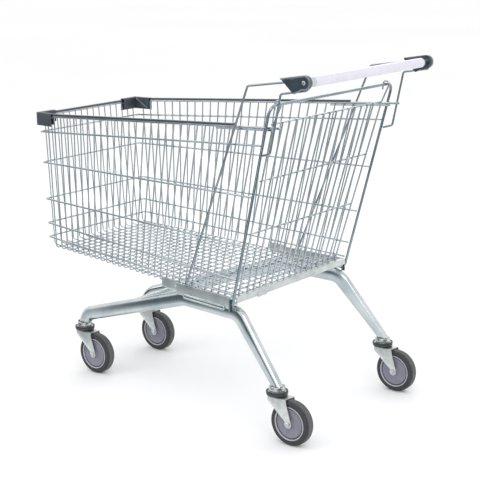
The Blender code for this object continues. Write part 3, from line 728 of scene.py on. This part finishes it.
lengthwise = []
for k in range(basket["frontPairs"]):
    for side in (-1, 1):
        x = (basket["frontPitch"] * (k + 0.5)) * side
        lift = Vector((0, 0, basket["uprightWire"] + basket["floorWire"] - 0.0004))
        foot = frontWall(x, 1.0, basket["wireStep"]) + lift
        rear = Vector((foot.x * floorRear.x / floorFront.x, floorRear.y, floorRear.z)) + lift
        start = frontWall(x, 0.0, basket["wireStep"])
        lengthwise.append(rounded([start, foot, rear], basket["floorBend"], 6))
along = wires("basket_front_wires", lengthwise, basket["floorWire"], "frame")
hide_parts("basket_front", "basket_floor")

belts = []
for front, rear in basket["girths"]:
    start = sideWall(1.0, rear, -1)
    corner = frontWall(rimFront.x, front)
    run = [start, Vector((-corner.x, corner.y, corner.z)), corner, onSide(start, -1)]
    belts.append(rounded(run, basket["girthBend"], 8))
wires("basket_girths", belts, basket["girthWire"], "frame")

rimRun = rounded([onSide(rimEnd, -1), onSide(rimFront, -1), rimFront, rimEnd], basket["cornerRadius"], 10)
rim = wires("rim_wire", [rimRun], basket["rimWire"], "frame", 14)
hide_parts("basket_rim")
second = {"from": 0.800, "drop": 0.0062, "inside": 0.0020, "wire": 0.0026, "endY": -0.4040}
lastU = (rimFront.y - second["endY"]) / (rimFront.y - rimRear.y)
stiffeners = [
    [sideWall(u, 0.0, side, second["inside"]) - up * second["drop"] for u in (second["from"], lastU)]
    for side in (-1, 1)
]
wires("rim_second_wires", stiffeners, second["wire"], "frame")


print("stage 7: rim profile and corner bumpers")

profile = {"width": 0.0102, "height": 0.0062, "rearU": 0.872}
bumper = {
    "leg": 0.0680, "depth": 0.0165, "wall": 0.0026, "top": 0.8155, "low": 0.7770, "round": 0.0055,
    "ribOut": 0.0008,
}
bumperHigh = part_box("corner_bumper_right")[1]
outY = bumperHigh.y
outX = rimFront.x + (outY - rimFront.y)


def stripSection(width, height):
    half = width / 2
    base = basket["rimWire"] - 0.0008
    top = base + height
    return roundedLoop([(-half, base), (half, base), (half, top), (-half, top)], 0.0024, 4)


def strip(name, start, end, node):
    made = sweep(
        name, [[start, end]], stripSection(profile["width"], profile["height"]),
        polishedPolypropylene, "frame", upright=True, sharp=50,
    )
    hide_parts(node)


frontU = (bumper["leg"] + 0.002) / (rimFront.y - rimRear.y)
for word, side in sides.items():
    strip(
        "rim_strip_" + word, sideWall(frontU, 0.0, side), sideWall(profile["rearU"], 0.0, side),
        "rim_profile_" + word,
    )
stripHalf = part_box("rim_profile_front")[1].x
strip(
    "rim_strip_front", Vector((-stripHalf, rimFront.y, rimFront.z)),
    Vector((stripHalf, rimFront.y, rimFront.z)), "rim_profile_front",
)


def buildBumper(word, side):
    b = bumper
    flare = (rimRear.x - rimFront.x) / (rimFront.y - rimRear.y) * b["leg"]
    path = [
        Vector((outX + flare, outY - b["leg"], 0)), Vector((outX, outY, 0)),
        Vector((outX - b["leg"], outY, 0)),
    ]
    path = rounded([onSide(p, side) for p in path], b["round"], 8)
    inward = -side  # the section's first axis points out of the corner, so it is turned for each side
    low, high, wall, depth = b["low"], b["top"], b["wall"], b["depth"]
    outline = [
        (0, low), (0, high), (depth, high), (depth, low + 0.0040), (depth - wall, low + 0.0040),
        (depth - wall, high - wall), (wall, high - wall), (wall, low),
    ]
    section = [(a * inward, z) for a, z in roundedLoop(outline, 0.0018, 3)]
    cap = sweep(
        "corner_bumper_" + word + "_shell", [path], section,
        mouldedPolypropylene, "frame", upright=True, sharp=50,
    )
    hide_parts("corner_bumper_" + word)
    # rib that runs down the side wing's inner wall from the corner
    inX, inY = outX - depth - b["ribOut"], outY - depth - b["ribOut"]
    start = Vector((inX * side, inY - 0.004, high - 0.0030))
    end = Vector(((inX + flare * 0.8) * side, outY - b["leg"] + 0.004, low + 0.0070))
    rib = roundedLoop([(-0.0014, -0.0022), (0.0014, -0.0022), (0.0014, 0.0022), (-0.0014, 0.0022)], 0.0008, 3)
    # the rib takes the paler finish, a painted highlight
    sweep(
        "corner_rib_" + word, [[start, end]], rib,
        paintedHighlightPolypropylene, "frame", upright=True, sharp=50,
    )


for word, side in sides.items():
    buildBumper(word, side)


print("stage 8: base plates")

plates = {
    "steel": 0.0022,
    "flange": 0.0300,
    "rise": 0.0260,
    "drop": 0.0100,
    "edgeRoll": 0.0024,
    "beadWire": 0.0032,
    "beadGap": 0.0092,
    "stopThick": 0.0032,
    "stopWide": 0.0110,
    "beadRaise": 0.0075,
    "beadSpan": (0.19, 0.84),
    "bracketShape": ((0.0030, 0.360), (0.0560, 0.364), (0.0560, 0.393), (0.0030, 0.390)),
}


def plateX(y):
    u = (floorFront.y - y) / (floorFront.y - floorRear.y)
    return floorFront.lerp(floorRear, u).x + basket["rimWire"] + plates["steel"]


def buildSidePlate(word, side):
    p = plates
    low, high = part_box("side_plate_" + word)
    crown, knee = Vector(chassis["crown"]), Vector(chassis["knee"])
    slope = (knee.z - crown.z) / (knee.y - crown.y)
    base = crown.z + chassis["ovalHeight"] / 2 + 0.0008
    ends = [
        Vector((plateX(y) * side, y, base + slope * (y - crown.y))) for y in (high.y - 0.0004, low.y + 0.0004)
    ]
    steel, roll = p["steel"], p["edgeRoll"]
    section = [
        (0, -p["drop"] + roll), (0, p["rise"]), (-steel, p["rise"]), (-steel, steel),
        (-p["flange"], steel), (-p["flange"], 0), (-steel, 0), (-steel, -p["drop"] + roll),
    ]
    section = roundedLoop(section, 0.0009, 3)
    # heading runs to the rear, so the section's side axis is -X there
    section = [(-a * side, b) for a, b in section]
    angle = sweep(
        "base_angle_" + word, [ends], section, zincPlatedSheet, "frame", upright=True, sharp=40,
    )
    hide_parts("side_plate_" + word)
    # a long hook of wire lies under the lower edge: two bright parallel beads joined by a turn at each end
    level = -p["drop"] + p["beadRaise"]
    spots = [ends[0].lerp(ends[1], share) for share in p["beadSpan"]]
    offset = Vector(((p["beadWire"] * 0.4) * side, 0, 0))
    tops = [spot + offset + Vector((0, 0, level)) for spot in spots]
    lows = [spot + offset + Vector((0, 0, level - p["beadGap"])) for spot in spots]
    heading = (tops[1] - tops[0]).normalized()
    turn = heading * p["beadGap"] * 0.9
    loop = [
        tops[1], tops[0], tops[0] - turn, lows[0] - turn, lows[0], lows[1], lows[1] + turn, tops[1] + turn,
        tops[1],
    ]
    loop = rounded(loop, p["beadGap"] * 0.5, 6)
    sweep(
        "base_bead_" + word, [loop], circle(p["beadWire"], 14), zincPlatedTube, "frame",
        sharp=60, softEnd=0.1,
    )
    # upright stop at the rear end
    stop = ends[1] + Vector((0.0012 * side, 0, 0))
    thick, wide = p["stopThick"] / 2, p["stopWide"] / 2
    post = roundedLoop([(-thick, -wide), (thick, -wide), (thick, wide), (-thick, wide)], 0.0010, 3)
    # the stop takes the heavy-wire finish, whose darker tints are painted shade
    sweep(
        "base_stop_" + word, [[stop + up * (p["rise"] - 0.004), stop - up * (p["drop"] + 0.004)]], post,
        zincPlatedRodPaintedShade, "frame", sharp=50,
    )
    for place, share in (("front", 0.12), ("rear", 0.88)):
        spot = ends[0].lerp(ends[1], share) + Vector((-p["flange"] * 0.55 * side, 0, steel))
        washer("plate_washer_%s_%s" % (place, word), spot, up, 0.0034, 0.0075, 0.0010, "frame")
        hexHead(
            "plate_bolt_%s_%s" % (place, word), spot + up * 0.0010, up, 0.0100, 0.0042,
            zincPlatedBolt, "frame",
        )


for word, side in sides.items():
    buildSidePlate(word, side)
    low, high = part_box("floor_bracket_" + word)
    seamY = low.y - 0.003
    rise = (floorFront.x - floorRear.x) / (floorFront.y - floorRear.y)
    place = axes((rise * side, 1, 0), (0, 0, 1), ((plateX(seamY) - plates["steel"] / 2) * side, seamY, 0))
    outline = roundedLoop(plates["bracketShape"], 0.005, 5)
    tab = plate(
        "floor_tab_" + word, [outline], plates["steel"], place, 0.0004,
        zincPlatedSheet, "frame",
    )
    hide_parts("floor_bracket_" + word)

lip = {
    "raised": 0.0012, "panel": (-0.1700, 0.1100), "tongue": 0.0400, "tongueDrop": 0.0060,
    "slotWidth": 0.0260, "slotHeight": 0.0046,
}
lipLow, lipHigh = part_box("rear_cross_plate")
steel = plates["steel"]
outer, footEnd = lipLow.y + lip["raised"], lipHigh.y - 0.002
channel = roundedLoop([
    (outer, lipLow.z), (footEnd, lipLow.z), (footEnd, lipLow.z + steel),
    (outer + steel, lipLow.z + steel), (outer + steel, lipHigh.z - steel),
    (lipHigh.y, lipHigh.z - steel), (lipHigh.y, lipHigh.z), (outer, lipHigh.z),
], 0.0010, 3)
channelMade = sweep(
    "rear_channel", [[(lipLow.x, 0, 0), (lipHigh.x, 0, 0)]], [(-y, z) for y, z in channel],
    zincPlatedSheet, "frame", upright=True, sharp=40,
)
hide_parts("rear_cross_plate")
lipMiddle = (lipLow.z + lipHigh.z) / 2
halfHigh = (lipHigh.z - lipLow.z) / 2 - 0.0030
left, right = lip["panel"]
face = roundedLoop([
    (left, -halfHigh - lip["tongueDrop"]), (left + lip["tongue"], -halfHigh - lip["tongueDrop"]),
    (left + lip["tongue"] + 0.004, -halfHigh), (right, -halfHigh), (right, halfHigh), (left, halfHigh),
], 0.0025, 4)
slots = []
for middle in (left - 0.0010 + lip["tongue"] * 0.5, right - 0.0220):
    near, far, h = middle - lip["slotWidth"] / 2, middle + lip["slotWidth"] / 2, lip["slotHeight"] / 2
    slots.append(roundedLoop([(near, -h), (far, -h), (far, h), (near, h)], 0.0020, 4))
plate(
    "rear_raised_panel", [face, *slots], 0.0016,
    axes((1, 0, 0), (0, 0, 1), (0, lipLow.y + 0.0008, lipMiddle)), 0.0004,
    zincPlatedSheet, "frame",
)


print("stage 9: rear frame and flap")

hoop = {
    "wire": 0.0040, "foot": (0.2725, -0.2580, 0.3560), "top": (0.2925, -0.4045, 0.9125), "bend": 0.0260,
}
flap = {
    "wire": 0.0025, "topZ": 0.860, "footZ": 0.3720, "lean": 0.2925, "halfTop": 0.2580, "halfFoot": 0.2320,
    "bars": (0.860, 0.705, 0.554, 0.392), "pitch": 0.0310, "inner": 15, "hook": 0.0095,
}
hoopTop = Vector(hoop["top"])
hoopRun = rounded(
    [onSide(hoop["foot"], -1), onSide(hoop["top"], -1), hoopTop, Vector(hoop["foot"])], hoop["bend"], 12,
)
# the hoop takes the heavy-wire finish, whose darker tints are painted shade
hoopWire = wires("rear_hoop", [hoopRun], hoop["wire"], "frame", 16, zincPlatedRodPaintedShade)
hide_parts("rear_frame")


def flapY(z):
    return hoopTop.y + flap["lean"] * (hoopTop.z - z)


def flapHalf(z):
    share = (flap["topZ"] - z) / (flap["topZ"] - flap["footZ"])
    return flap["halfTop"] + (flap["halfFoot"] - flap["halfTop"]) * share


def hookRun(side):
    x = flap["halfTop"] * side
    foot = Vector((flap["halfFoot"] * side, flapY(flap["footZ"]), flap["footZ"]))
    start = Vector((x, flapY(flap["topZ"]), flap["topZ"]))
    loop = [Vector((x, y, z)) for y, z in arcPoints((hoopTop.y, hoopTop.z), flap["hook"], 195, 0, 16)]
    tail = Vector((x, hoopTop.y + flap["hook"] + 0.002, hoopTop.z - 0.016))
    return [foot, start] + loop + [tail]


flapRuns = [hookRun(-1), hookRun(1)]
for k in range(flap["inner"]):
    x = flap["pitch"] * (k - (flap["inner"] - 1) / 2)
    foot = Vector((x * flap["halfFoot"] / flap["halfTop"], flapY(flap["footZ"]), flap["footZ"]))
    flapRuns.append([foot, Vector((x, flapY(flap["topZ"] + 0.003), flap["topZ"] + 0.003))])
flapWires = wires("flap_uprights", flapRuns, flap["wire"], "flap", 12)
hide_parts("rear_flap")
barRuns = [
    [Vector(((flapHalf(z) + 0.003) * side, flapY(z) + flap["wire"] * 1.7, z)) for side in (-1, 1)]
    for z in flap["bars"]
]
wires("flap_bars", barRuns, flap["wire"] * 1.08, "flap", 12)


print("stage 10: handle")

handle = {
    "radius": 0.0135, "clampRound": 0.0193, "tipTop": (-0.4400, 0.9865), "tipLow": (-0.4815, 0.9480),
    "tipRound": 0.0030, "lipHalf": 0.0023, "recess": 0.0023, "innerGap": 0.0012, "bolt": 0.0058,
    "sleeveEnd": 0.2615,
}
bracket = {
    "wire": 0.0030, "bend": 0.0085, "foot": (0.2665, -0.0830, 0.3720), "hook": (0.0010, -0.0200, 0.0140),
    "top": (0.2905, -0.3315, 0.9590),
    "loop": (
        (0.2905, -0.5230, 0.9860), (0.2940, -0.5230, 0.9600), (0.2940, -0.4395, 0.9460),
        (0.2940, -0.4045, 0.7900), (0.2885, -0.3765, 0.7820),
    ),
}
tubeLow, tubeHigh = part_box("handle_tube")
gripAt = (tubeLow + tubeHigh) / 2
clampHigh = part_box("handle_clamp_right")[1]
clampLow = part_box("handle_clamp_right")[0]


def buildClamp(word, side):
    h = handle
    rim = arcPoints((gripAt.y, gripAt.z), h["clampRound"], 85, 290, 24)
    shape = roundedLoop([h["tipTop"]] + rim + [h["tipLow"]], h["tipRound"], 4)
    inner, outer = clampLow.x + h["innerGap"], clampHigh.x - h["recess"]
    lengthwise = axes((0, 1, 0), (0, 0, 1), ((inner + outer) / 2 * side, 0, 0))
    shell = plate(
        "handle_clamp_" + word + "_shell", [shape], outer - inner, lengthwise, 0.0010,
        polishedPolypropylene, "frame",
    )
    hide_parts("handle_clamp_" + word)
    # raised lip round the outer face, open at the slanted end
    centre = Vector((0, gripAt.y, gripAt.z))
    edge = [Vector((outer * side, y, z)) for y, z in [h["tipTop"]] + rim[1:-1] + [h["tipLow"]]]
    drawn = []
    for i, spot in enumerate(edge):
        heading = (edge[min(i + 1, len(edge) - 1)] - edge[max(i - 1, 0)]).normalized()
        inwards = heading.cross(Vector((1, 0, 0)))
        if inwards.dot(centre - spot) < 0:
            inwards = -inwards
        drawn.append(spot + inwards * h["lipHalf"])
    drawn[0] += (drawn[1] - drawn[0]).normalized() * h["tipRound"] * 0.4
    drawn[-1] += (drawn[-2] - drawn[-1]).normalized() * h["tipRound"] * 0.4
    # the lip takes the paler finish, a painted highlight
    sweep(
        "handle_clamp_lip_" + word, [drawn], circle(h["recess"] - 0.0001, 14),
        paintedHighlightPolypropylene, "frame", sharp=60, softEnd=0.3,
    )
    outwards = Vector((side, 0, 0))
    spot = Vector((outer * side, gripAt.y, gripAt.z))
    button = [
        (0, 0.0030), (h["bolt"] * 0.55, 0.0027), (h["bolt"] * 0.92, 0.0016), (h["bolt"], 0.0005),
        (h["bolt"], 0), (0, 0),
    ]
    cap = turned(
        "clamp_screw_" + word, button, spot, outwards, zincPlatedBolt, "frame", 32, 0.0004,
    )
    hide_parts("clamp_bolt_" + word)


def bracketRun(side):
    foot = Vector(bracket["foot"])
    points = [foot + Vector(bracket["hook"]), foot, Vector(bracket["top"]), *bracket["loop"]]
    return rounded([onSide(p, side) for p in points], bracket["bend"], 8)


for word, side in sides.items():
    # the bracket wires take the heavy-wire finish, whose darker tints are painted shade
    arm = wires("bracket_wire_" + word, [bracketRun(side)], bracket["wire"], "frame", 14, zincPlatedRodPaintedShade)
    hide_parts("handle_bracket_" + word)
    buildClamp(word, side)

# bare plated tube, with the sleeve pushed over all but its ends
tubeRadius = handle["radius"] - 0.0012
tubeProfile = [(0, tubeHigh.x), (tubeRadius, tubeHigh.x), (tubeRadius, tubeLow.x), (0, tubeLow.x)]
turned(
    "handle_core", tubeProfile, gripAt, Vector((1, 0, 0)), zincPlatedTube, "frame", 48, 0.0004,
)
half = handle["sleeveEnd"]
sleeve = [
    (handle["radius"] - 0.0014, half), (handle["radius"] - 0.0006, half), (handle["radius"], half - 0.0008),
    (handle["radius"], 0), (handle["radius"], -half + 0.0008), (handle["radius"] - 0.0006, -half),
    (handle["radius"] - 0.0014, -half),
]
grip = turned(
    "handle_sleeve", sleeve, gripAt, Vector((1, 0, 0)), shrunkPvcSleeve, "frame",
    48, 0.0003,
)
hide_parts("handle_tube")


print("stage 11: floor, light and camera")

room = {
    "floorHalf": 60.0, "ambient": "#fcfcfd", "band": "#46555d", "farFloor": "#4c5b62",
    "cloudMm": 2600, "brightTo": 0.9, "darkFrom": 1.2, "strength": 1.06, "key": 34, "side": 16, "back": 14,
    "darkHeadings": ((-0.786, 0.618, 0), (-0.350, -0.937, 0)), "sectorSoft": 0.80, "sectorFull": 0.93,
}


def darkSector(tree, place):
    # 1 towards each of the studio's two dark walls, 0 elsewhere
    level = addNode(tree, "ShaderNodeVectorMath", {"operation": "MULTIPLY"}, {"Vector": place})
    level.inputs[1].default_value = (1, 1, 0)
    flat = addNode(
        tree, "ShaderNodeVectorMath", {"operation": "NORMALIZE"}, {"Vector": level.outputs["Vector"]},
    ).outputs["Vector"]
    found = []
    for heading in room["darkHeadings"]:
        facing = addNode(tree, "ShaderNodeVectorMath", {"operation": "DOT_PRODUCT"}, {"Vector": flat})
        facing.inputs[1].default_value = heading
        found.append(addNode(
            tree, "ShaderNodeMapRange", {"From Min": room["sectorSoft"], "From Max": room["sectorFull"]},
            {"Value": facing.outputs["Value"]},
        ).outputs["Result"])
    both = addNode(tree, "ShaderNodeMath", {"operation": "MAXIMUM"}, {"Value": found[0]})
    tree.links.new(found[1], both.inputs[1])
    return both.outputs["Value"]


def buildFloor():
    made, tree, shader, place = newFinish("paintedConcretePaleFloor")
    # seamless painted floor: almost even, with a very slight cloud; plated steel mirrors its far part darker
    cloud = addNode(
        tree, "ShaderNodeTexNoise", {"Scale": perMetre(room["cloudMm"]), "Detail": 1.0}, {"Vector": place},
    ).outputs["Fac"]
    even = colourRamp(tree, cloud, ((0.3, "#fafafa"), (0.7, "#fcfcfc")))
    away = addNode(tree, "ShaderNodeVectorMath", {"operation": "LENGTH"}, {"Vector": place}).outputs["Value"]
    far = addNode(
        tree, "ShaderNodeMapRange",
        {"From Min": room["brightTo"], "From Max": room["darkFrom"]}, {"Value": away},
    ).outputs["Result"]
    share = addNode(tree, "ShaderNodeMath", {"operation": "MULTIPLY"}, {"Value": far})
    tree.links.new(darkSector(tree, place), share.inputs[1])
    mirrored = colourRamp(tree, share.outputs["Value"], ((0.0, "#eef0f1"), (1.0, room["farFloor"])))
    glossy = addNode(tree, "ShaderNodeLightPath").outputs["Is Glossy Ray"]
    mixed = addNode(tree, "ShaderNodeMix", {"data_type": "RGBA"})
    tree.links.new(glossy, mixed.inputs[0])
    tree.links.new(even, mixed.inputs[6])
    tree.links.new(mirrored, mixed.inputs[7])
    tree.links.new(mixed.outputs[2], shader.inputs["Base Color"])
    shader.inputs["Roughness"].default_value = 0.9
    shader.inputs["Specular IOR Level"].default_value = 0.1
    mesh = bpy.data.meshes.new("studioFloor")
    half = room["floorHalf"]
    square = [(-half, -half, 0), (half, -half, 0), (half, half, 0), (-half, half, 0)]
    mesh.from_pydata(square, [], [(0, 1, 2, 3)])
    mesh.materials.append(made)
    floor = bpy.data.objects.new("studio_floor", mesh)
    bpy.context.scene.collection.objects.link(floor)
    floor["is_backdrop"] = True


def buildWorld():
    # pale studio with even light; only in mirrored rays do two of its walls turn dark towards the floor
    world = bpy.data.worlds.new("studio")
    bpy.context.scene.world = world
    world.use_nodes = True
    tree = world.node_tree
    sky = tree.nodes["Background"]
    heading = addNode(tree, "ShaderNodeTexCoord").outputs["Generated"]
    height = addNode(tree, "ShaderNodeSeparateXYZ", links={"Vector": heading}).outputs["Z"]
    level = addNode(
        tree, "ShaderNodeMapRange", {"From Min": -0.2, "From Max": 1.0}, {"Value": height},
    ).outputs["Result"]
    walls = colourRamp(tree, level, (
        (0.00, room["farFloor"]), (0.16, room["band"]), (0.26, room["band"]), (0.36, "#93a0a6"),
        (0.50, "#eef1f3"), (0.80, "#fdfdfd"),
    ))
    partly = addNode(tree, "ShaderNodeMix", {"data_type": "RGBA"})
    tree.links.new(darkSector(tree, heading), partly.inputs[0])
    partly.inputs[6].default_value = hexColour(room["ambient"])
    tree.links.new(walls, partly.inputs[7])
    glossy = addNode(tree, "ShaderNodeLightPath").outputs["Is Glossy Ray"]
    mixed = addNode(tree, "ShaderNodeMix", {"data_type": "RGBA"})
    tree.links.new(glossy, mixed.inputs[0])
    mixed.inputs[6].default_value = hexColour(room["ambient"])
    tree.links.new(partly.outputs[2], mixed.inputs[7])
    tree.links.new(mixed.outputs[2], sky.inputs["Color"])
    sky.inputs["Strength"].default_value = room["strength"]


def softbox(name, place, target, width, height, power):
    lamp = bpy.data.lights.new(name, "AREA")
    lamp.shape = "RECTANGLE"
    lamp.size = width
    lamp.size_y = height
    lamp.energy = power
    obj = bpy.data.objects.new(name, lamp)
    obj.location = place
    obj.rotation_euler = (Vector(target) - Vector(place)).to_track_quat("-Z", "Y").to_euler()
    bpy.context.scene.collection.objects.link(obj)


buildFloor()
buildWorld()
softbox("keySoftbox", (-2.2, -2.6, 3.4), (0, 0, 0.5), 2.6, 1.6, room["key"])
softbox("sideSoftbox", (-3.2, 2.4, 2.2), (0, 0, 0.5), 1.8, 2.4, room["side"])
softbox("backSoftbox", (3.0, 1.6, 2.8), (0, 0, 0.5), 2.2, 1.8, room["back"])

camera = {
    "place": (-2.981, -2.4295, 1.376), "azimuth": -51.84, "elevation": 13.50, "roll": -0.67,
    "lens": 100.10, "shiftX": -0.0090, "shiftY": -0.0025,
}


def buildCamera():
    azimuth, elevation, roll = (math.radians(camera[k]) for k in ("azimuth", "elevation", "roll"))
    backward = Vector((
        math.sin(azimuth) * math.cos(elevation), -math.cos(azimuth) * math.cos(elevation),
        math.sin(elevation),
    ))
    level = Vector((math.cos(azimuth), math.sin(azimuth), 0))
    over = backward.cross(level)
    right = level * math.cos(roll) + over * math.sin(roll)
    top = -level * math.sin(roll) + over * math.cos(roll)
    data = bpy.data.cameras.new("camera")
    data.lens = camera["lens"]
    data.sensor_width = 36
    data.shift_x = camera["shiftX"]
    data.shift_y = camera["shiftY"]
    data.clip_end = 200
    obj = bpy.data.objects.new("camera", data)
    made = Matrix((right, top, backward)).transposed().to_4x4()
    made.translation = Vector(camera["place"])
    obj.matrix_world = made
    bpy.context.scene.collection.objects.link(obj)
    bpy.context.scene.camera = obj


buildCamera()
bpy.context.scene.view_settings.view_transform = "Standard"
bpy.context.scene.view_settings.look = "None"

bpy.context.view_layer.update()
low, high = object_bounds()
print("stage 12: done")
